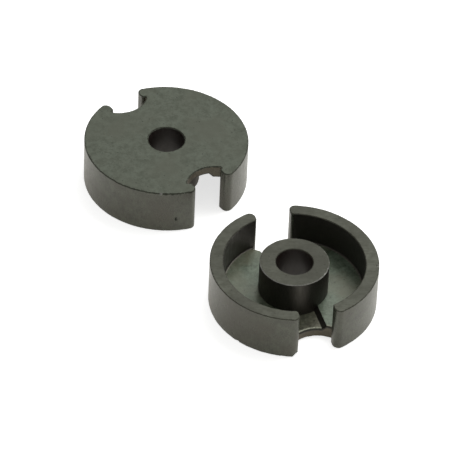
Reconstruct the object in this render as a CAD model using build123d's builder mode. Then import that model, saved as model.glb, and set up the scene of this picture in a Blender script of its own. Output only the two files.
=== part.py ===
"""Ferrite pot core, size P 14 x 8: the two like halves laid side by side on a table.

Each half is one pressed, sintered and ground piece.  A round base plate carries an outer
skirt and a hollow centre post of the same height.  Two slots, one each side, open the skirt
for the leads of the coil.  At each slot a round notch is taken out of the base plate, and a
shallow channel runs in the floor from the post to the notch.  One half lies on its ground
rim with its back up, the other lies on its back, open side up.

Frame: millimetres, +Z up, the table at Z = 0, the origin midway between the two halves.
"""
from build123d import *
from math import cos, isclose, radians, sin, sqrt
import os

# Turned form of one half
outer_radius = 7.025          # outside of the skirt, 14.05 across
skirt_thickness = 1.125
inner_radius = outer_radius - skirt_thickness
post_radius = 2.9             # outside of the centre post
bore_radius = 1.55            # hole through the post
half_height = 4.2             # back face to ground rim
base_thickness = 1.25         # back face to floor of the winding space
skirt_foot_radius = 0.15      # fillet from the floor to the skirt
back_edge_break = 0.08        # pressed chamfer, all round the back face
rim_edge_break = 0.06         # smaller, where the rim and the post are ground

# Slots through the skirt
slot_width = 3.0
tip_outer_radius = 0.5        # outer upright edge of each skirt end
tip_inner_radius = 0.25       # inner upright edge of each skirt end

# Notches through the base plate, a little wider than the slots
notch_depth = 1.15            # from the inside of the skirt to the bottom of a notch
notch_overhang = 0.36         # how far the skirt ends stand in front of a notch
notch_corner_radius = 0.1     # where a notch meets the skirt

# Lead channels in the floor, from the post to the notches
channel_depth = 0.4
channel_bottom_width = 2.0
channel_top_width = 2.66
channel_lip_radius = 0.2      # where a channel rolls over into a notch

# Places of the two halves on the table
spacing_x = 11.2              # between the two axes
spacing_y = 14.7
face_down_turn = 37.6         # degrees, from +Y to the slots of the half with its back up
face_up_turn = 18.3           # degrees, from +Y to the slots of the open half


def back_plane(x, y, z, turn, up):
    """Plane of a back face: its Y runs along the slots, its Z from the back face to the rim."""
    across = (cos(radians(turn)), sin(radians(turn)), 0)
    return Plane(origin=(x, y, z), x_dir=across, z_dir=(0, 0, up))


def round_walls(half, radius):
    """The upright walls of this radius; the surfaces made by fillets state no radius."""
    walls = half.faces().filter_by(GeomType.CYLINDER)
    return walls.filter_by(lambda face: face.radius is not None and isclose(face.radius, radius))


def core_half(back):
    """One half of the core, with its back face on the given plane."""
    core_axis = Axis(back.origin, back.z_dir)
    floor = back.offset(base_thickness)

    # Plan of the skirt: a ring with two slots, its four ends rounded
    with BuildSketch(back) as skirt:
        Circle(outer_radius)
        Circle(inner_radius, mode=Mode.SUBTRACT)
        Rectangle(slot_width, 2 * outer_radius, mode=Mode.SUBTRACT)
        tips = skirt.vertices().sort_by_distance(back.origin)
        fillet(tips[:4], tip_inner_radius)
        fillet(tips[4:], tip_outer_radius)

    # Plan of the notches: arcs through the notch bottoms that end on the inside of the skirt
    notch_bottom = inner_radius - notch_depth
    notch_half_width = slot_width / 2 + notch_overhang
    notch_end = sqrt(inner_radius**2 - notch_half_width**2)
    arc_height = notch_end - notch_bottom
    notch_radius = (notch_half_width**2 + arc_height**2) / (2 * arc_height)
    with BuildSketch(back) as notches:
        with PolarLocations(notch_bottom + notch_radius, 2, 90):
            Circle(notch_radius)
        Circle(inner_radius, mode=Mode.INTERSECT)
        fillet(notches.vertices(), notch_corner_radius)

    with BuildPart() as half:
        # Round cup, filleted where its floor meets its wall
        with BuildSketch(back):
            Circle(outer_radius)
        extrude(amount=half_height)
        with BuildSketch(floor):
            Circle(inner_radius)
        extrude(amount=half_height - base_thickness, mode=Mode.SUBTRACT)
        fillet(half.edges(Select.LAST).group_by(core_axis)[0], skirt_foot_radius)

        # Lead channels: one trough with sloping flanks, right across the floor
        with BuildSketch(Plane(floor.origin, x_dir=floor.x_dir, z_dir=-floor.y_dir)):
            with BuildLine():
                Polyline(
                    (-channel_top_width / 2, 0),
                    (-channel_bottom_width / 2, -channel_depth),
                    (channel_bottom_width / 2, -channel_depth),
                    (channel_top_width / 2, 0),
                    close=True,
                )
            make_face()
        extrude(amount=notch_end, both=True, mode=Mode.SUBTRACT)

        # Slots and notches, cut in one with the outline of the plan
        with BuildSketch(back):
            Circle(inner_radius)
            add(skirt.sketch_local)
            add(notches.sketch_local, mode=Mode.SUBTRACT)
        extrude(amount=half_height, mode=Mode.INTERSECT)

        # Lips: where the channels end at the notches
        notch_arcs = round_walls(half, notch_radius).edges().filter_by(GeomType.CIRCLE)
        fillet(notch_arcs.group_by(core_axis)[1], channel_lip_radius)

        # Centre post with its bore, standing across the channels
        with BuildSketch(back):
            Circle(post_radius)
        extrude(amount=half_height)
        with BuildSketch(back):
            Circle(bore_radius)
        extrude(amount=half_height, mode=Mode.SUBTRACT)

        # Edges of the back face and of the ground rim
        chamfer(half.edges().group_by(core_axis)[0], back_edge_break)
        chamfer(half.edges().group_by(core_axis)[-1], rim_edge_break)
    return half


# Open half: lies on its back
face_up_half = core_half(back_plane(spacing_x / 2, -spacing_y / 2, 0, face_up_turn, 1))
face_up_half.part.label = "face_up_half"

# Closed half: lies on its ground rim
face_down_half = core_half(back_plane(-spacing_x / 2, spacing_y / 2, half_height, face_down_turn, -1))
face_down_half.part.label = "face_down_half"

os.makedirs("parts", exist_ok=True)
export_step(face_up_half.part, "parts/face_up_half.step")
export_step(face_down_half.part, "parts/face_down_half.step")
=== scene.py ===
# %% [markdown]
# # A ferrite pot core, dressed for the studio
#
# A pot core is two like cups of ferrite, a black ceramic that carries magnetic flux. Each cup is
# pressed from powder, fired, and ground flat on its rim. The shape comes ready from the CAD
# model. This lesson gives it its surface: the ground rim, the matt back, the glossy fired skin
# inside, and the small chips that such a brittle part picks up when it knocks against another.

from math import asin, cos, pi, radians, sin

import bmesh
import bpy
import numpy as np
from mathutils import Matrix, Vector
from mathutils.geometry import delaunay_2d_cdt


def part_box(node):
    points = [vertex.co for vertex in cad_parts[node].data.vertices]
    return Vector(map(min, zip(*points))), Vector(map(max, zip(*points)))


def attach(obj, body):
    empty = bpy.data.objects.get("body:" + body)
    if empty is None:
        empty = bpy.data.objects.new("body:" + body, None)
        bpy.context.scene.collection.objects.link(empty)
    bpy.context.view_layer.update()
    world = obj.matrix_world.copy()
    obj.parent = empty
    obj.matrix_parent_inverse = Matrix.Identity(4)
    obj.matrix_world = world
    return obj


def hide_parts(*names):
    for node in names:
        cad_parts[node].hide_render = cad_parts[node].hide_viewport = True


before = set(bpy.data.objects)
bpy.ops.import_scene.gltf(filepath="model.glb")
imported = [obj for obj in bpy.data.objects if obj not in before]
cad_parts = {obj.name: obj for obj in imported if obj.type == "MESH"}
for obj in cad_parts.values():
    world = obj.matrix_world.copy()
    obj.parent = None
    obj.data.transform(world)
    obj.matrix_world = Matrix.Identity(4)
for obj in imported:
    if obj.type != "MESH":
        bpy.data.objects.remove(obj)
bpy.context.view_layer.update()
print("CAD nodes:", sorted(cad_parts))

# %% [markdown]
# ## Sizes from the frame
#
# Everything below is placed from the boxes of the two halves, so it follows the model. Blender
# works in metres and the core is 14 mm across, so a name for a millimetre keeps numbers short.

# %% Read the sizes
MM = 0.001
UP, DOWN = "face_up_half", "face_down_half"


def centre(node):
    """Middle of a node's box on the table, in mm: (low + high) / 2 for x and y."""
    low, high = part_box(node)
    return np.array(((low.x + high.x) / 2, (low.y + high.y) / 2)) / MM


CENTRE = {node: centre(node) for node in (UP, DOWN)}
TALL = round(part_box(UP)[1].z / MM, 3)
for name, (x, y) in CENTRE.items():
    print(f"{name}: axis at {x:.2f}, {y:.2f} mm, {TALL} mm high")

# %% [markdown]
# ## Camera
#
# The parts are seen from far off through a long lens, looking down at 42 degrees and rolled a
# little. A camera is placed by a matrix: its columns are its right, its up, and the way back
# from what it looks at.

# %% Place the camera
PITCH, ROLL = radians(42.2), radians(2.51)
DISTANCE = 330.9 * MM
AIM = Vector((0.159, 0.818, 0)) * MM
SENSOR_WIDTH, FOCAL_OVER_WIDTH = 36.0, 8.478

forward = Vector((0, cos(PITCH), -sin(PITCH)))
level_right = Vector((1, 0, 0))
level_up = level_right.cross(forward)
right = level_right * cos(ROLL) + level_up * sin(ROLL)
up = level_up * cos(ROLL) - level_right * sin(ROLL)

camera = bpy.data.objects.new("camera", bpy.data.cameras.new("camera"))
camera.matrix_world = Matrix.Translation(AIM - forward * DISTANCE) @ Matrix(
    (right, up, -forward)).transposed().to_4x4()
camera.data.sensor_width = SENSOR_WIDTH
camera.data.lens = SENSOR_WIDTH * FOCAL_OVER_WIDTH
camera.data.clip_start, camera.data.clip_end = 10 * MM, 10000 * MM
bpy.context.scene.collection.objects.link(camera)
bpy.context.scene.camera = camera
print(f"lens {camera.data.lens:.0f} mm, {DISTANCE / MM:.0f} mm away")

# %% [markdown]
# ## Plan of one half
#
# Seen from above, a half is a ring of skirt with two slots, and a plate with a round notch at
# each slot. It could be cut from discs with booleans, but those leave long thin triangles that
# shade badly. Here one quarter of the outline is a chain of arcs, each tangent to the next. The
# other quarters are mirror images, so the whole outline closes without a gap.

# %% Sizes of one half, in millimetres
STEP = 0.08  # between neighbouring points of an arc
R_OUT, R_IN, R_POST, R_BORE = 7.02, 5.9, 2.9, 1.55
FLOOR, FOOT = 1.25, 0.15  # the floor's height, and its fillet at the foot of the skirt
SLOT_HALF, TIP_OUT, TIP_IN = 1.5, 0.5, 0.25  # half a slot's width, and the skirt's corners there
NOTCH_BOTTOM, NOTCH_R, NOTCH_BEND = 4.75, 2.4616, 0.1  # distance from the axis, radius, corners
TROUGH_DEPTH, TROUGH_BOTTOM, TROUGH_TOP = 0.4, 1.0, 1.33  # the last two are half widths
LIP = 0.2  # radius of the roll into a notch
AXIS = np.zeros(2)
NOTCH_MID = np.array((0, NOTCH_BOTTOM + NOTCH_R))
print(f"skirt {R_OUT - R_IN:.2f} mm thick, web {FLOOR} mm, centre hole {2 * R_BORE:.1f} mm")

# %% Arcs and chains


def bearing(point):
    """Angle of a point seen from the axis: arctan(x / y), 0 at +Y and growing toward +X."""
    return np.arctan2(point[0], point[1])


def arc(centre, radius, start, end, through=()):
    """Points centre + radius (sin a, cos a) for bearings a from start to end, about STEP apart."""
    count = max(2, int(np.ceil(abs(end - start) * radius / STEP)) + 1)
    bearings = np.linspace(start, end, count)
    for exact in through:
        bearings[np.argmin(np.abs(bearings - exact))] = exact
    return centre + radius * np.column_stack((np.sin(bearings), np.cos(bearings)))


def chain(*pieces):
    """Joins pieces of a curve end to end, each shared point kept once."""
    return np.concatenate([pieces[0]] + [piece[1:] for piece in pieces[1:]])


print("a quarter circle at the skirt has", len(arc(AXIS, R_OUT, 0, pi / 2)), "points")

# %% Outline of the plate and skirts
SLOT_POINTS = 9
reach, notch_reach = R_IN - NOTCH_BEND, NOTCH_R - NOTCH_BEND
bend_y = (reach**2 - notch_reach**2 + NOTCH_MID[1]**2) / (2 * NOTCH_MID[1])
bend = np.array((np.sqrt(reach**2 - bend_y**2), bend_y))
tip_in = np.array((SLOT_HALF + TIP_IN, np.sqrt((R_IN + TIP_IN)**2 - (SLOT_HALF + TIP_IN)**2)))
tip_out = np.array((SLOT_HALF + TIP_OUT, np.sqrt((R_OUT - TIP_OUT)**2 - (SLOT_HALF + TIP_OUT)**2)))
creases = [pi - asin(x / NOTCH_R) for x in (TROUGH_BOTTOM, TROUGH_TOP)]
notch_side = chain(
    arc(NOTCH_MID, NOTCH_R, pi, bearing(bend - NOTCH_MID), creases),
    arc(bend, NOTCH_BEND, bearing(bend - NOTCH_MID), bearing(bend)),
)
slot_face = np.column_stack((
    np.full(SLOT_POINTS, SLOT_HALF), np.linspace(tip_in[1], tip_out[1], SLOT_POINTS)))
quarter = chain(
    notch_side,
    arc(AXIS, R_IN, bearing(bend), bearing(tip_in)),
    arc(tip_in, TIP_IN, bearing(tip_in) - pi, -pi / 2),
    slot_face,
    arc(tip_out, TIP_OUT, -pi / 2, bearing(tip_out)),
    arc(AXIS, R_OUT, bearing(tip_out), pi / 2),
)
right_side = chain(quarter, (quarter * (1, -1))[::-1])
OUTLINE = np.concatenate((right_side[:-1], -right_side[:-1]))
# The outline starts at the middle of one notch and passes the other one halfway round.
AROUND, END = len(OUTLINE), len(notch_side) - 1
HALFWAY = AROUND // 2
NOTCHES = (np.arange(-END, END + 1), np.arange(HALFWAY - END, HALFWAY + END + 1))
SKIRTS = (np.arange(END, HALFWAY - END + 1), np.arange(HALFWAY + END, AROUND - END + 1) % AROUND)
INSIDE = arc(AXIS, R_IN, pi - bearing(bend), bearing(bend))
print(f"{AROUND} points round the plan, {len(INSIDE)} along the inside of each skirt")

# %% [markdown]
# ## Height of the floor
#
# The floor of the winding space is a function of the plan: level, rising in a fillet to the
# skirt, and sinking in a trough that runs out to both notches. At a notch the floor and the
# trough roll over into the notch wall, which makes a thin lip that catches the light.

# %% Height of the floor


def floor_height(plan):
    """z = floor + foot - trough - lip.

    foot = f - sqrt(f^2 - (r - r0)^2) where r > r0; trough sinks in a straight flank between its
    two half widths; lip = l - sqrt(l^2 - (l - q)^2), with q the distance to the notch wall, and
    fades out where the foot rises.
    """
    x, y = np.abs(plan[:, 0]), np.abs(plan[:, 1])
    rise = np.clip(np.hypot(x, y) - (R_IN - FOOT), 0, FOOT)
    foot = FOOT - np.sqrt(np.maximum(FOOT**2 - rise**2, 0))
    share = np.clip((TROUGH_TOP - x) / (TROUGH_TOP - TROUGH_BOTTOM), 0, 1)
    from_notch = np.clip(np.hypot(x, y - NOTCH_MID[1]) - NOTCH_R, 0, LIP)
    roll = LIP - np.sqrt(np.maximum(LIP**2 - (LIP - from_notch)**2, 0))
    return FLOOR + foot - TROUGH_DEPTH * share - roll * (1 - rise / FOOT)


plan_line = np.column_stack((np.zeros(3), (3.0, 4.5, 4.8)))
print("floor along the middle of the trough:", np.round(floor_height(plan_line), 3), "mm")

# %% [markdown]
# ## Walls and faces
#
# Every surface of the half is a grid or a filled outline. A wall is a plan curve carried upward,
# row by row, as powder follows the die. Whole arrays are worked out at once, which is both
# shorter and faster than visiting each vertex.

# %% Grids


def sheet(rows, closed=False):
    """Triangles between the rows of a grid (rows, columns, xyz)."""
    index = np.arange(rows.shape[0] * rows.shape[1]).reshape(rows.shape[:2])
    if closed:
        index = np.column_stack((index, index[:, 0]))
    corners = np.stack((index[:-1, :-1], index[:-1, 1:], index[1:, 1:], index[1:, :-1]), -1)
    return rows.reshape(-1, 3), corners[..., (0, 1, 2, 0, 2, 3)].reshape(-1, 3)


def raised(plan, height):
    """Plan points lifted to a height, one for all or one each."""
    return np.column_stack((plan, np.broadcast_to(height, len(plan))))


def wall(plan, low, high, rows):
    """Upright grid over plan points: z = low + (high - low) t, for t from 0 to 1."""
    share = np.linspace(0, 1, rows)[:, None]
    z = low + (high - low) * share
    return np.concatenate((np.broadcast_to(plan, (rows, *plan.shape)), z[..., None]), -1)


level = np.zeros(len(SKIRTS[0]))
print("a skirt wall of 3 rows:", wall(OUTLINE[SKIRTS[0]], level, level + TALL, 3).shape)

# %% [markdown]
# A flat face has no rows. A Delaunay triangulation fills it: the outline stays as it is, and a
# slightly shuffled lattice of points inside keeps the triangles even, so that bump and shading
# stay smooth.

# %% Fill an outline
FACE_SPACING, SAME_POINT = 0.14, 1e-6
SHUFFLE = 0.2  # how far a lattice point strays, as a share of the spacing
rng = np.random.default_rng(14)


def inside(points, loop):
    """Even-odd test: inside, a ray from the point crosses the loop an odd number of times."""
    (x0, y0), (x1, y1) = loop.T, np.roll(loop, -1, axis=0).T
    px, py = points[:, :1], points[:, 1:]
    spans = (y0 > py) != (y1 > py)
    slope = (x1 - x0) / np.where(y1 == y0, 1, y1 - y0)
    return (spans & (px < x0 + slope * (py - y0))).sum(1) % 2 == 1


def fill(outer, holes=(), lines=(), loose=(), spacing=FACE_SPACING, height=TALL):
    """Delaunay triangles over the area inside a loop and outside its holes, and their points.

    Lines are kept as edges. Loose points and a shuffled lattice give the area its inner points,
    and height is one z for all or a function of the plan.
    """
    span = np.arange(-R_OUT, R_OUT, spacing)
    lattice = np.stack(np.meshgrid(span, span), -1)
    lattice[1::2, :, 0] += spacing / 2
    lattice = lattice.reshape(-1, 2) + rng.uniform(-SHUFFLE, SHUFFLE, (len(span)**2, 2)) * spacing
    lattice = lattice[inside(lattice, outer)]
    for hole in holes:
        lattice = lattice[~inside(lattice, hole)]
    loops = (outer, *holes)
    points = np.concatenate((*loops, *lines, *loose, lattice))
    edges, first = [], 0
    for loop in loops:
        index = np.arange(first, first + len(loop))
        edges.append(np.column_stack((index, np.roll(index, -1))))
        first += len(loop)
    for line in lines:
        index = np.arange(first, first + len(line))
        edges.append(np.column_stack((index[:-1], index[1:])))
        first += len(line)
    made = delaunay_2d_cdt(
        points.tolist(), np.concatenate(edges).tolist(), [], 0, SAME_POINT)
    plan, triangles = np.array(made[0]), np.array(made[2])
    centres = plan[triangles].mean(1)
    keep = inside(centres, outer)
    for hole in holes:
        keep &= ~inside(centres, hole)
    z = height(plan) if callable(height) else height
    return raised(plan, z), triangles[keep]


print("the axis is in the outline:", inside(np.zeros((1, 2)), OUTLINE)[0])

# %% [markdown]
# ## Worn edges
#
# No edge of a fired part is sharp. Tumbling and handling break it by nearly 0.1 mm, and
# unevenly. A bevel modifier would give every edge one width. A strip whose width wanders along
# the edge catches the light as the real one does, and a chip is only a place where it is wide.

# %% How far an edge is broken
BACK_BREAK, RIM_BREAK = 0.08, 0.06
WANDER, WANDER_LENGTHS = 0.3, (2.9, 1.3, 0.7, 0.37, 0.23)
JAG, JAG_LENGTHS = 0.35, (0.31, 0.24, 0.19)


def inward(loop):
    """Unit vectors across a clockwise loop, toward its inside: the tangent turned right."""
    tangent = np.roll(loop, -1, axis=0) - np.roll(loop, 1, axis=0)
    across = np.column_stack((tangent[:, 1], -tangent[:, 0]))
    return across / np.linalg.norm(across, axis=1)[:, None]


def ripple(loop, lengths, seed):
    """Smooth noise along a loop, about -1 to 1: 1.4 times the mean of sines that close on it."""
    step = np.linalg.norm(np.roll(loop, -1, axis=0) - loop, axis=1)
    along, total = np.cumsum(step) - step[0], step.sum()
    local = np.random.default_rng(seed)
    turns = np.maximum(1, np.round(total / np.array(lengths)))[:, None]
    phase = local.uniform(0, 2 * pi, turns.shape)
    return np.sin(2 * pi * turns * along / total + phase).mean(0) * 1.4


def edge_break(loop, width, chips, seed):
    """How far a worn edge is broken into the face and down the wall, at each loop point.

    Both are width (1 + WANDER noise). A chip adds inset or drop times sqrt(1 - (d / half)^2),
    with d the distance to the middle of the chip, times a jagged 1 + JAG noise.
    """
    noise = ripple(loop, WANDER_LENGTHS, seed)
    into_face = width * (1 + WANDER * noise)
    down_wall = width * (1 + WANDER * noise[::-1])
    jag = 1 + JAG * ripple(loop, JAG_LENGTHS, seed + 1)
    for x, y, half, inset, drop, _ in chips:
        gap = np.hypot(loop[:, 0] - x, loop[:, 1] - y) / half
        scoop = np.sqrt(np.clip(1 - gap**2, 0, 1)) * jag
        into_face += inset * scoop
        down_wall += drop * scoop
    return into_face, down_wall


breaks = edge_break(OUTLINE, BACK_BREAK, (), 1)
print(f"a back edge is broken by {breaks[0].min():.3f} to {breaks[0].max():.3f} mm")

# %% The strip over a broken edge
EDGE_ROWS = 4
HOLLOW, HOLLOW_FROM = 0.5, 0.15


def break_rows(loop, into_face, down_wall, face_z, toward):
    """Grid from the wall to the face over a broken edge, hollow where the break is wide.

    hollow = HOLLOW (into_face - HOLLOW_FROM) sin(pi t), for t from 0 to 1 across the strip.
    toward is 1 when the wall is above the face and -1 when it is below.
    """
    share = np.linspace(0, 1, EDGE_ROWS)[:, None]
    hollow = HOLLOW * np.clip(into_face - HOLLOW_FROM, 0, 1) * np.sin(pi * share)
    inset = into_face * share + hollow
    z = face_z + toward * (down_wall * (1 - share) + hollow)
    across = inward(loop)
    plan = loop + across * inset[..., None]
    return np.concatenate((plan, z[..., None]), -1)


def edge_surfaces(strip, kind, chips=()):
    """The triangles of an edge strip as two surfaces: worn ones, and those of the fresh chips."""
    points, triangles = sheet(strip, True)
    fresh = np.zeros(strip.shape[1], bool)
    for x, y, half, _, _, is_fresh in chips:
        fresh |= is_fresh & (np.hypot(strip[0, :, 0] - x, strip[0, :, 1] - y) < half)
    pick = np.tile(np.repeat(fresh, 2), len(strip) - 1)
    return [(points, triangles[~pick], kind), (points, triangles[pick], "chip")]


print("the strip round a back face:", break_rows(OUTLINE, *breaks, 0, 1).shape)

# %% [markdown]
# ## One half as a closed surface
#
# The surfaces are made one by one: the back and its edges, the notch walls, the two skirts, the
# floor between them and the post. Neighbours share the same edge points, and once these are
# merged the half is one closed skin. Each surface carries the name of its finish.

# %% The back
WALL_ROWS, LOW_ROWS = 34, 19  # rows of a wall above the floor, and beside the plate


def circle(radius):
    """A full circle, clockwise from +Y."""
    return arc(AXIS, radius, 0, 2 * pi)[:-1]


BORE = circle(R_BORE)


def back_surfaces(chips, seed):
    """Back face with its edges, and how far the edges reach down the outline and the bore."""
    into_face, down_wall = edge_break(OUTLINE, BACK_BREAK, chips, seed)
    strip = break_rows(OUTLINE, into_face, down_wall, 0, 1)
    bore_in, bore_drop = edge_break(BORE, BACK_BREAK, (), seed + 2)
    bore_strip = break_rows(BORE, -bore_in, bore_drop, 0, 1)
    found = edge_surfaces(strip, "back_edge", chips) + edge_surfaces(bore_strip, "back_edge")
    found.append((*fill(strip[-1, :, :2], (bore_strip[-1, :, :2],), height=0), "back"))
    return found, down_wall, bore_drop


print(f"{len(BORE)} points round the bore")

# %% [markdown]
# The skirts rise from the plate as two arcs. Their outside is the pressed wall, their inside is
# the fired skin, and their flat end is the only face that a grinding wheel touches, because the
# two halves of the core must meet there without a gap.

# %% Notch walls and skirts


def notch_surfaces(down_wall):
    """Notch walls, from the broken back edge up to the floor."""
    found = []
    for index in NOTCHES:
        plan = OUTLINE[index]
        found.append((*sheet(wall(plan, down_wall[index], floor_height(plan), LOW_ROWS)), "notch"))
    return found


def skirt_surfaces(down_wall, chips, seed):
    """Both skirts: outer wall below and above the floor's fillet, inner wall, and ground rim.

    wrap walks from the end of the outer arc along the inner arc and back to the start.
    """
    found, shoulder = [], FLOOR + FOOT
    for index, inner in zip(SKIRTS, (INSIDE, -INSIDE)):
        outer, count = OUTLINE[index], len(index)
        loop = np.concatenate((outer, inner[1:-1]))
        rim_in, rim_drop = edge_break(loop, RIM_BREAK, chips, seed + 4 + index[0])
        strip = break_rows(loop, rim_in, rim_drop, TALL, -1)
        wrap = np.append(np.arange(count - 1, len(loop)), 0)
        low = wall(outer, down_wall[index], np.full(count, shoulder), LOW_ROWS)
        high = wall(outer, np.full(count, shoulder), TALL - rim_drop[:count], WALL_ROWS)
        inner_wall = wall(
            loop[wrap], np.full(len(wrap), shoulder), TALL - rim_drop[wrap], WALL_ROWS)
        found += [(*sheet(low), "wall"), (*sheet(high), "wall"), (*sheet(inner_wall), "inside")]
        found += edge_surfaces(strip, "rim_edge", chips)
        found.append((*fill(strip[-1, :, :2]), "rim"))
    return found


print("notch walls:", [len(points) for points, *_ in notch_surfaces(breaks[1])], "points")

# %% [markdown]
# The floor is filled like a flat face and then lifted by the height function. Lines along the
# trough's creases and round each lip keep those turns crisp. Its flat part has the pale bloom of
# the kiln and the troughs are browner. The trough flanks and the most tilted part of each skirt's
# foot are painted as dark as the walls, and the rest of the foot as brown as the troughs: painted
# shade in these creases. The lip's rounded turn is painted pale, a painted highlight.

# %% The floor
FLOOR_SPACING = 0.12
TROUGH_POINTS, LIP_ARCS, FOOT_RINGS = 25, 7, 8
LIP_REACH = 1.65  # half the width over which the floor follows a notch's arc
# STEEP and STEEP_FOOT pick the tilted floor that is painted dark, a painted shade on the trough
# flanks and in the skirt's foot; up to TURNED the lip is painted pale, a painted highlight.
STEEP, STEEP_FOOT, TURNED = 0.78, 0.9, 0.996


def floor_lines():
    """Lines that the floor's creases and rolls follow: trough edges, and arcs round each notch."""
    lines = []
    for x in (TROUGH_BOTTOM, TROUGH_TOP):
        from_post = np.sqrt(R_POST**2 - x**2)
        to_notch = NOTCH_MID[1] - np.sqrt(NOTCH_R**2 - x**2)
        edge = np.column_stack((
            np.full(TROUGH_POINTS, x), np.linspace(from_post, to_notch, TROUGH_POINTS)))
        lines += [edge, edge * (-1, 1), edge * (1, -1), -edge]
    for turn in np.linspace(0, pi / 2, LIP_ARCS + 1)[1:]:
        radius = NOTCH_R + LIP * (1 - cos(turn))
        half = asin(LIP_REACH / radius)
        roll = arc(NOTCH_MID, radius, pi - half, pi + half)
        lines += [roll, -roll]
    return lines


post_creases = [asin(x / R_POST) for x in (TROUGH_BOTTOM, TROUGH_TOP)]
post_creases += [pi - a for a in post_creases]
post_creases += [2 * pi - a for a in post_creases]
POST = arc(AXIS, R_POST, 0, 2 * pi, post_creases)[:-1]


def floor_surfaces():
    """Floor between post and skirts, sorted by the |z| of each triangle's normal.

    Below STEEP, or STEEP_FOOT at the foot of a skirt, it takes the dark finish of the walls, a
    painted shade on the trough flanks and in the foot's crease. Up to TURNED it is the lip's
    rounded turn, painted pale as a painted highlight, or the start of a foot, painted in the
    channel finish as a painted shade. What is flat is channel or floor.
    """
    border = chain(OUTLINE[NOTCHES[0]], INSIDE[::-1], OUTLINE[NOTCHES[1]], -INSIDE[::-1])[:-1]
    foot = [R_IN - FOOT + FOOT * sin(turn) for turn in np.linspace(0, pi / 2, FOOT_RINGS + 1)[:-1]]
    rings = [INSIDE[1:-1] * side * radius / R_IN for radius in foot for side in (1, -1)]
    points, triangles = fill(
        border, (POST,), floor_lines(), rings, FLOOR_SPACING, floor_height)
    corners = points[triangles]
    normal = np.cross(corners[:, 1] - corners[:, 0], corners[:, 2] - corners[:, 0])
    tilt = abs(normal[:, 2]) / np.linalg.norm(normal, axis=1)
    x, y, _ = corners.mean(axis=1).T
    in_foot = np.hypot(x, y) > R_IN - FOOT
    # Painted shade: tilted floor triangles take the dark wall finish, and the start of a foot the
    # channel finish.
    painted_shade, turned = tilt < np.where(in_foot, STEEP_FOOT, STEEP), tilt < TURNED
    brown = turned | (abs(x) < TROUGH_BOTTOM)
    names = np.select((painted_shade, turned & ~in_foot, brown), ("inside", "lip", "channel"), "floor")
    found = []
    for name in ("inside", "lip", "channel", "floor"):
        used, corner_index = np.unique(triangles[names == name], return_inverse=True)
        found.append((points[used], corner_index.reshape(-1, 3), name))
    return found


print(len(floor_lines()), "lines hold the creases and rolls of the floor")

# %% [markdown]
# The post carries the flux through the winding. It is as tall as the skirts here, so it is
# ground with them, and a hole runs down it for a clamping screw or an adjuster. Its outer edge
# is painted pale all round in the finish of a fresh break, a painted highlight along that edge.

# %% The post, and the half as a whole


def post_surfaces(bore_drop, seed):
    """Post wall, its ground end with two broken edges, and the bore through it."""
    outer_in, outer_drop = edge_break(POST, RIM_BREAK, (), seed + 6)
    inner_in, inner_drop = edge_break(BORE, RIM_BREAK, (), seed + 7)
    outer_strip = break_rows(POST, outer_in, outer_drop, TALL, -1)
    inner_strip = break_rows(BORE, -inner_in, inner_drop, TALL, -1)
    side = wall(POST, floor_height(POST), TALL - outer_drop, WALL_ROWS)
    bore = wall(BORE, bore_drop, TALL - inner_drop, WALL_ROWS)
    found = [(*sheet(side, True), "inside"), (*sheet(bore, True), "bore")]
    # Painted highlight: the post's outer edge strip takes the pale broken finish all round.
    found += edge_surfaces(outer_strip, "post_edge_glint") + edge_surfaces(inner_strip, "rim_edge")
    found.append((*fill(outer_strip[-1, :, :2], (inner_strip[-1, :, :2],)), "rim"))
    return found


def half_surfaces(back_chips, rim_chips, seed):
    """All surfaces of one half in its own frame: (points, triangles, kind) for each."""
    back, down_wall, bore_drop = back_surfaces(back_chips, seed)
    return (back + notch_surfaces(down_wall) + skirt_surfaces(down_wall, rim_chips, seed)
            + floor_surfaces() + post_surfaces(bore_drop, seed))


print("surfaces in a half:", len(half_surfaces((), (), 1)))

# %% [markdown]
# ## Ferrite in its finishes
#
# Ferrite is a ceramic of iron oxide with manganese and zinc. It is one grey-black stuff all
# through, yet each face shows how it was made. All finishes share one set of nodes and differ in
# their values. The patterns are noise in the piece's own space, so they stay put on the part
# from any side. First come the two helpers that every material uses.

# %% Colours and nodes


def linear(hex_colour):
    """sRGB hex to linear RGBA: c/12.92 up to 0.04045, and ((c + 0.055)/1.055)^2.4 above it."""
    srgb = np.array([int(hex_colour[i:i + 2], 16) for i in (1, 3, 5)]) / 255
    rgb = np.where(srgb <= 0.04045, srgb / 12.92, ((srgb + 0.055) / 1.055) ** 2.4)
    return (*rgb, 1.0)


def node(tree, kind, inputs=None, **settings):
    """Adds one node; inputs gives each socket a value, or the output socket that feeds it."""
    made = tree.nodes.new(kind)
    for name, value in settings.items():
        setattr(made, name, value)
    for name, value in (inputs or {}).items():
        if isinstance(value, bpy.types.NodeSocket):
            tree.links.new(value, made.inputs[name])
        else:
            made.inputs[name].default_value = value
    return made


print("mid grey in linear light:", round(linear("#808080")[0], 3))

# %% [markdown]
# ### What the grain looks like
#
# Pressing powder is spray dried into granules of about 0.2 mm. They leave a fine grain, and
# where they filled the die unevenly the face has patches 0.7 mm wide and clouds a few
# millimetres wide. A few granules fall out and leave pores about 0.1 mm across.

# %% Patterns of a ceramic
PATCHES_PER_MM, PORES_PER_MM = 1.4, 1.7
PORE_EDGE = (0.05, 0.14)  # from full depth to none, as distances from the middle of a cell


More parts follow.
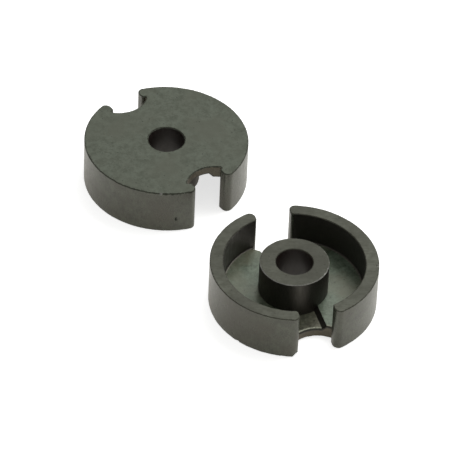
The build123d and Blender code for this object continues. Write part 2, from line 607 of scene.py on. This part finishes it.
def patterns(tree, grain_size, cloud):
    """Noise outputs by name: patches, clouds, grain (all about 0.5) and pore (1 in a pore)."""
    place = node(tree, "ShaderNodeTexCoord").outputs["Object"]
    in_mm = node(tree, "ShaderNodeMapping", {"Vector": place, "Scale": (1 / MM,) * 3}).outputs[0]
    along = node(tree, "ShaderNodeMapping", {
        "Vector": place, "Scale": [1 / (size * MM) for size in grain_size]}).outputs[0]
    cells = node(tree, "ShaderNodeTexVoronoi", {
        "Vector": in_mm, "Scale": PORES_PER_MM}).outputs["Distance"]
    return {
        "patches": node(tree, "ShaderNodeTexNoise", {
            "Vector": in_mm, "Scale": PATCHES_PER_MM, "Detail": 3.0, "Roughness": 0.65,
        }).outputs[0],
        "clouds": node(tree, "ShaderNodeTexNoise", {
            "Vector": in_mm, "W": cloud[1], "Scale": cloud[0], "Detail": 2.0},
            noise_dimensions="4D").outputs[0],
        "grain": node(tree, "ShaderNodeTexNoise", {
            "Vector": along, "Scale": 1.0, "Detail": 4.0, "Roughness": 0.7}).outputs[0],
        "pore": node(tree, "ShaderNodeMapRange", {
            "Value": cells, "From Min": PORE_EDGE[0], "From Max": PORE_EDGE[1],
            "To Min": 1.0, "To Max": 0.0}).outputs[0],
    }


print(f"patches {1 / PATCHES_PER_MM:.1f} mm wide, pores {1 / PORES_PER_MM:.1f} mm apart")

# %% [markdown]
# ### From patterns to a finish
#
# The tone goes from dark to light with patches and grain, then toward a third tone in the
# clouds, toward a fourth on the worn edges and on the lip, where the fourth tone is a painted
# highlight, and to near black in the pores, a painted shade. The same grain steers the roughness
# and a shallow bump, so that gloss and tone change together. Noise gathers about its mean of
# 0.5, so each range below is a band round that mean.

# %% The shader that all faces share
# Pores are painted near black, a painted shade in each small hollow whose depth is only a bump.
PORE_SHADE_COLOUR, PORE_COVER = "#0d0d0b", 0.6


def ferrite(name, tones, rough, ior, grain_size, grain_depth, cloud=(0.35, 2.0), tint="#ffffff"):
    """Material of a ferrite face.

    tones are the dark, light, clouded and edge colours, and rough is the lowest and highest
    roughness. grain_size is the length in mm of one unit of grain along x, y and z, and
    grain_depth the height of its relief. cloud is the number of clouds per mm, and their seed.
    tint is the colour of the mirror light.
    """
    made = bpy.data.materials.new(name)
    made.use_nodes = True
    tree = made.node_tree
    surface = tree.nodes["Principled BSDF"]
    surface.inputs["IOR"].default_value = ior
    surface.inputs["Specular Tint"].default_value = linear(tint)
    dark, light, cloudy, worn = [linear(tone) for tone in tones]
    seen = patterns(tree, grain_size, cloud)

    both = node(tree, "ShaderNodeMath", {0: seen["patches"], 1: seen["grain"]}).outputs[0]
    share = node(tree, "ShaderNodeMapRange", {
        "Value": both, "From Min": 0.82, "From Max": 1.18}).outputs[0]
    tone = node(tree, "ShaderNodeMix", {0: share, 6: dark, 7: light}, data_type="RGBA").outputs[2]
    cover = node(tree, "ShaderNodeMapRange", {
        "Value": seen["clouds"], "From Min": 0.45, "From Max": 0.65, "To Max": 0.75}).outputs[0]
    tone = node(tree, "ShaderNodeMix", {0: cover, 6: tone, 7: cloudy}, data_type="RGBA").outputs[2]
    # On the lip the fourth tone is a painted highlight; on the other edges and chips it is wear.
    edge = node(tree, "ShaderNodeAttribute", attribute_name="edge").outputs["Fac"]
    ragged = node(tree, "ShaderNodeMath", {0: edge, 1: seen["grain"]}, operation="MULTIPLY")
    rubbed_and_sheen = node(tree, "ShaderNodeMapRange", {
        "Value": ragged.outputs[0], "From Min": 0.2, "From Max": 0.45}).outputs[0]
    tone = node(tree, "ShaderNodeMix", {0: rubbed_and_sheen, 6: tone, 7: worn}, data_type="RGBA").outputs[2]
    # Painted shade: the tone sinks toward near black in the pores.
    dim = node(tree, "ShaderNodeMath", {
        0: seen["pore"], 1: PORE_COVER}, operation="MULTIPLY").outputs[0]
    tone = node(tree, "ShaderNodeMix", {
        0: dim, 6: tone, 7: linear(PORE_SHADE_COLOUR)}, data_type="RGBA").outputs[2]
    tree.links.new(tone, surface.inputs["Base Color"])

    gloss = node(tree, "ShaderNodeMapRange", {
        "Value": seen["grain"], "From Min": 0.3, "From Max": 0.7,
        "To Min": rough[0], "To Max": rough[1]}).outputs[0]
    tree.links.new(gloss, surface.inputs["Roughness"])
    relief = node(tree, "ShaderNodeMath", {
        0: seen["grain"], 1: seen["pore"]}, operation="SUBTRACT").outputs[0]
    bump = node(tree, "ShaderNodeBump", {
        "Height": relief, "Strength": 1.0, "Distance": grain_depth * MM}).outputs["Normal"]
    tree.links.new(bump, surface.inputs["Normal"])
    return made


print(f"a pore hides {PORE_COVER:.0%} of the tone under it")

# %% [markdown]
# ### Outer faces
#
# Polished ferrite has an index near 2.3. These faces are rough on a scale finer than any bump
# here, which eats most of the mirror light, so their indices are lower. They are what is left
# of the gloss. The wall keeps the most, since it slid along the polished die.

# %% Back, wall and rim
# Matt grey with a green cast, cloudy where the powder filled the die unevenly.
pressed_back = ferrite(
    "pressed ferrite back", ("#464b3f", "#5b6155", "#525549", "#31332a"),
    (0.45, 0.65), 1.42, (0.2, 0.2, 0.2), 0.01, tint="#fbfff0")
# Browner and glossier, with a grain drawn out upright. It pales where it turns from the eye.
pressed_wall = ferrite(
    "pressed ferrite wall", ("#1e231a", "#41473a", "#2b281d", "#24251e"),
    (0.24, 0.4), 1.7, (0.25, 0.25, 0.6), 0.006, tint="#fffdf2")
# Grey with faint parallel lines. Real ones are 0.02 mm apart, and too fine to show, so these
# are 0.14 mm apart.
ground_rim = ferrite(
    "ground ferrite", ("#47493d", "#606257", "#33322a", "#36362d"),
    (0.45, 0.6), 1.4, (0.8, 0.14, 0.5), 0.004, cloud=(0.12, 4.0), tint="#fdfff0")
print("outer finishes:", [made.name for made in (pressed_back, pressed_wall, ground_rim)])

# %% [markdown]
# ### Fired skin and fresh breaks
#
# The inside was never touched after the kiln. Gases that leave the stack of parts settle as a
# pale green bloom on the flat floor, and the upright walls stay dark. A fresh break shows the
# glassy inside of the ceramic, which glints.

# %% Inside, bore, notches and chips
# Pale grey-green with a soft sheen and tan clouds.
fired_floor = ferrite(
    "fired ferrite floor", ("#3c4737", "#63705f", "#65614e", "#868f7f"),
    (0.28, 0.42), 1.75, (0.3, 0.3, 0.3), 0.008, tint="#eef8e6")
# Duller and warmer. Where it rolls over the lip its fourth tone is painted pale, a painted
# highlight.
fired_channel = ferrite(
    "fired ferrite channel", ("#34362b", "#595b4c", "#4d4b3c", "#868b7a"),
    (0.28, 0.42), 1.75, (0.3, 0.3, 0.3), 0.008, tint="#fbf6e2")
# Nearly black. What light it gives is a blurred mirror image of the room.
fired_inside = ferrite(
    "fired ferrite inside", ("#0f0d0b", "#1b1814", "#15120f", "#0c0b09"),
    (0.38, 0.58), 1.65, (0.3, 0.3, 0.9), 0.003, tint="#fffaec")
# Dark brown, from the binder that burnt out last here.
fired_bore = ferrite(
    "fired ferrite bore", ("#1c1511", "#2a221e", "#261b16", "#2a2620"),
    (0.3, 0.45), 1.7, (0.25, 0.25, 0.8), 0.002)
# Dull brown, lighter than the inside.
fired_notch = ferrite(
    "fired ferrite notch", ("#38332a", "#504a3d", "#473e30", "#322d23"),
    (0.35, 0.5), 1.7, (0.2, 0.2, 0.8), 0.004, tint="#fff6df")
# Pale and glassy, where a fresh chip shows the inside. On the outer edge of the post it is a
# painted highlight.
broken = ferrite(
    "broken ferrite and post glint", ("#62625a", "#85857c", "#727168", "#7a7a71"),
    (0.25, 0.4), 1.9, (0.1, 0.1, 0.1), 0.01)

FINISH_OF = {
    "wall": pressed_wall, "back": pressed_back, "back_edge": pressed_back,
    "rim": ground_rim, "rim_edge": ground_rim, "floor": fired_floor, "inside": fired_inside,
    "bore": fired_bore, "notch": fired_notch, "lip": fired_channel, "channel": fired_channel,
    "chip": broken, "post_edge_glint": broken}
FINISHES = list(dict.fromkeys(FINISH_OF.values()))
KINDS = {kind: FINISHES.index(finish) for kind, finish in FINISH_OF.items()}
# The lip takes its fourth tone as a painted highlight; the edges and chips take it as wear and
# fresh breaks.
WORN_AND_SHEEN = ("back_edge", "rim_edge", "lip", "chip")  # kinds that take the fourth tone of their finish
print(len(FINISHES), "finishes for", len(KINDS), "kinds of surface")

# %% [markdown]
# ## Chips and pits
#
# Ferrite is as brittle as glass. Where two halves knock together a flake breaks off an edge, and
# a grain that did not bind in the press leaves a pit. Both are shape, not paint, so the light
# finds them from every side. A chip widens the strip along an edge, and a pit pushes the wall
# in.

# %% Chips
# Each is x, y, half width, inset and drop, in a half's own mm, and whether the break is fresh.
OPEN_BACK_CHIPS = [(-1.72, -6.55, 0.34, 0.16, 0.34, False), (-5.9, -3.8, 0.2, 0.05, 0.08, False)]
OPEN_RIM_CHIPS = [(6.66, -2.23, 0.2, 0.25, 0.1, True), (-4.9, 5.03, 0.12, 0.05, 0.05, True)]
CLOSED_BACK_CHIPS = [(-4.43, 5.45, 0.12, 0.08, 0.08, True), (-4.05, 5.74, 0.2, 0.03, 0.07, False),
                     (-3.6, 6.03, 0.24, 0.02, 0.06, False)]
CLOSED_RIM_CHIPS = [(-6.3, -3.1, 0.15, 0.06, 0.06, True)]
print(len(OPEN_BACK_CHIPS + OPEN_RIM_CHIPS + CLOSED_BACK_CHIPS + CLOSED_RIM_CHIPS), "chips")

# %% Pits
# Each is the middle, the radius and the depth.
OPEN_PITS = [((-3.96, -5.796, 2.54), 0.12, 0.03), ((-6.2, -3.3, 0.6), 0.14, 0.04)]
CLOSED_PITS = [((-3.292, 6.2, 2.873), 0.2, 0.16), ((-5.0, 4.93, 1.9), 0.13, 0.03)]


def pitted(points, pits):
    """Pushes points near each pit toward the axis by depth (1 - (r / radius)^2)^2."""
    for middle, radius, depth in pits:
        share = np.clip(1 - (np.linalg.norm(points - middle, axis=1) / radius)**2, 0, 1)**2
        out = np.array((middle[0], middle[1], 0)) / np.hypot(middle[0], middle[1])
        points = points - depth * share[:, None] * out
    return points


pit_middle = np.array((CLOSED_PITS[0][0],))
print("the middle of a pit moves to", np.round(pitted(pit_middle, CLOSED_PITS)[0], 3))

# %% [markdown]
# ## The two meshes
#
# All surfaces of a half go into one mesh, still with double points where two of them meet.
# Merging these closes the skin, and then every normal can be turned outward. The shading is
# smooth except where faces meet at more than 38 degrees. Each mesh keeps the world's origin as
# its own, as the CAD model's do, and takes the place of one CAD half.

# %% Join the surfaces into a mesh
WELD = 0.002 * MM


def joined(name, surfaces, pits, frame_axes, origin):
    """One mesh of all surfaces, its points at (pitted points) times frame_axes plus origin.

    Each triangle has the number of its finish, and each point of a worn edge, or of the lip's
    painted highlight, has "edge" at 1.
    """
    points = np.concatenate([surface[0] for surface in surfaces])
    first = np.cumsum([0] + [len(surface[0]) for surface in surfaces[:-1]])
    triangles = np.concatenate([surface[1] + start for surface, start in zip(surfaces, first)])
    kinds = np.concatenate([np.full(len(s[1]), KINDS[s[2]], np.int32) for s in surfaces])
    edge = np.concatenate([np.full(len(s[0]), s[2] in WORN_AND_SHEEN, np.float32) for s in surfaces])
    points = (pitted(points, pits) @ frame_axes + origin) * MM
    mesh = bpy.data.meshes.new(name)
    mesh.vertices.add(len(points))
    mesh.vertices.foreach_set("co", points.ravel())
    mesh.loops.add(triangles.size)
    mesh.loops.foreach_set("vertex_index", triangles.ravel().astype(np.int32))
    mesh.polygons.add(len(triangles))
    mesh.polygons.foreach_set("loop_start", np.arange(0, triangles.size, 3, dtype=np.int32))
    mesh.polygons.foreach_set("material_index", kinds)
    mesh.polygons.foreach_set("use_smooth", np.ones(len(triangles), bool))
    mesh.update(calc_edges=True)
    mesh.attributes.new("edge", "FLOAT", "POINT").data.foreach_set("value", edge)
    return mesh


def close_skin(mesh):
    """Merges the doubles, turns the normals outward, and returns the volume in cubic mm."""
    work = bmesh.new()
    work.from_mesh(mesh)
    bmesh.ops.remove_doubles(work, verts=work.verts, dist=WELD)
    bmesh.ops.dissolve_degenerate(work, dist=WELD, edges=work.edges)
    bmesh.ops.recalc_face_normals(work, faces=work.faces)
    volume = work.calc_volume() / MM**3
    work.to_mesh(mesh)
    work.free()
    return volume


print(f"points nearer than {WELD / MM:.3f} mm become one")

# %% Make a half from its mesh
SHARP_ANGLE = radians(38)
OPEN_TURN, CLOSED_TURN = radians(18.3), radians(37.6)


def make_half(name, cad_node, frame_axes, origin, surfaces, pits):
    """Adds a half as a piece that stands for a CAD node, with its finishes."""
    mesh = joined(name, surfaces, pits, frame_axes, origin)
    volume = close_skin(mesh)
    for finish in FINISHES:
        mesh.materials.append(finish)
    mesh.set_sharp_from_angle(angle=SHARP_ANGLE)
    edge_of_loop = np.empty(len(mesh.loops), np.int32)
    mesh.loops.foreach_get("edge_index", edge_of_loop)
    open_edges = (np.bincount(edge_of_loop) != 2).sum()
    piece = bpy.data.objects.new(name, mesh)
    bpy.context.scene.collection.objects.link(piece)
    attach(piece, "root")
    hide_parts(cad_node)
    print(f"{name}: {len(mesh.polygons)} triangles, {open_edges} open edges, {volume:.1f} mm3")


def axes(turn, up):
    """Rows are a half's own X, Y and Z, with the slots along Y and Z toward the rim."""
    across = np.array((cos(turn), sin(turn), 0))
    axis = np.array((0, 0, up))
    return np.array((across, np.cross(axis, across), axis))


make_half(
    "open_core_half", UP, axes(OPEN_TURN, 1), np.array((*CENTRE[UP], 0)),
    half_surfaces(OPEN_BACK_CHIPS, OPEN_RIM_CHIPS, seed=3), OPEN_PITS)
make_half(
    "closed_core_half", DOWN, axes(CLOSED_TURN, -1), np.array((*CENTRE[DOWN], TALL)),
    half_surfaces(CLOSED_BACK_CHIPS, CLOSED_RIM_CHIPS, seed=11), CLOSED_PITS)

# %% [markdown]
# ## Paper
#
# The halves lie on white paper. Dark parts are exposed generously, which washes the paper out to
# pure white, and leaves only the deepest part of the shadow. So the paper has a little light of
# its own, which only the camera and mirror reflections see. It adds nothing to the light on the
# ferrite's own colour.

# %% Paper
PAPER_HALF_WIDTH, PAPER_GAP = 3.0, 0.01 * MM
corners = PAPER_HALF_WIDTH * np.array(((-1, -1, 0), (1, -1, 0), (1, 1, 0), (-1, 1, 0)))
paper_mesh = bpy.data.meshes.new("paper")
paper_mesh.from_pydata(corners.tolist(), [], [(0, 1, 2, 3)])
paper = bpy.data.objects.new("paper", paper_mesh)
bpy.context.scene.collection.objects.link(paper)
paper.location.z = -PAPER_GAP
print(f"paper {2 * PAPER_HALF_WIDTH:.0f} m wide")

# %% White paper, washed out
GLOW, CAMERA_GLOW = 0.45, 0.25  # light of its own, and what the camera sees on top of it
white = bpy.data.materials.new("white paper")
white.use_nodes = True
tree = white.node_tree
tree.nodes.remove(tree.nodes["Principled BSDF"])
rays = node(tree, "ShaderNodeLightPath").outputs
matt = node(tree, "ShaderNodeBsdfDiffuse", {"Color": linear("#f2f2f0")}).outputs[0]
cream = node(tree, "ShaderNodeMix", {
    0: rays["Is Camera Ray"], 6: linear("#fff9ee"), 7: (1, 1, 1, 1)}, data_type="RGBA").outputs[2]
power = node(tree, "ShaderNodeMath", {
    0: rays["Is Camera Ray"], 1: CAMERA_GLOW, 2: GLOW}, operation="MULTIPLY_ADD").outputs[0]
glow = node(tree, "ShaderNodeEmission", {"Color": cream, "Strength": power}).outputs[0]
lifted = node(tree, "ShaderNodeAddShader", {0: matt, 1: glow}).outputs[0]
seen = node(tree, "ShaderNodeMath", {
    0: rays["Is Camera Ray"], 1: rays["Is Glossy Ray"]}, operation="MAXIMUM").outputs[0]
paper_shader = node(tree, "ShaderNodeMixShader", {0: seen, 1: matt, 2: lifted}).outputs[0]
tree.links.new(paper_shader, tree.nodes["Material Output"].inputs["Surface"])
paper_mesh.materials.append(white)
print(f"paper glow: {GLOW} in reflections, {GLOW + CAMERA_GLOW} to the camera")

# %% [markdown]
# ## Light
#
# A light tent gives even light from all round, and a large panel stands behind the parts to the
# right, as high as halfway up the sky. It draws the soft shadow of the skirts across the floor,
# and its mirror image gives the flat faces their sheen. A sheet of white lit by both comes out
# near 1, so each colour renders about as it is written.

# %% Tent and panel
TENT_STRENGTH = 0.4
room = bpy.data.worlds.new("light tent")
bpy.context.scene.world = room
room.use_nodes = True
tent = room.node_tree.nodes["Background"].inputs
tent["Color"].default_value = (1, 1, 1, 1)
tent["Strength"].default_value = TENT_STRENGTH
bpy.context.scene.view_settings.view_transform = "Standard"

PANEL_BEARING, PANEL_RISE = radians(48), radians(50)
PANEL_DISTANCE, PANEL_SIZE, PANEL_POWER = 350 * MM, 350 * MM, 1.0
toward_panel = Vector((cos(PANEL_BEARING) * cos(PANEL_RISE), sin(PANEL_BEARING) * cos(PANEL_RISE),
                       sin(PANEL_RISE)))
panel = bpy.data.objects.new("soft panel", bpy.data.lights.new("soft panel", "AREA"))
panel.data.size = PANEL_SIZE
panel.data.energy = PANEL_POWER
panel.location = PANEL_DISTANCE * toward_panel
panel.rotation_euler = toward_panel.to_track_quat("Z", "Y").to_euler()
bpy.context.scene.collection.objects.link(panel)
print("panel at", [round(value / MM) for value in panel.location], "mm")
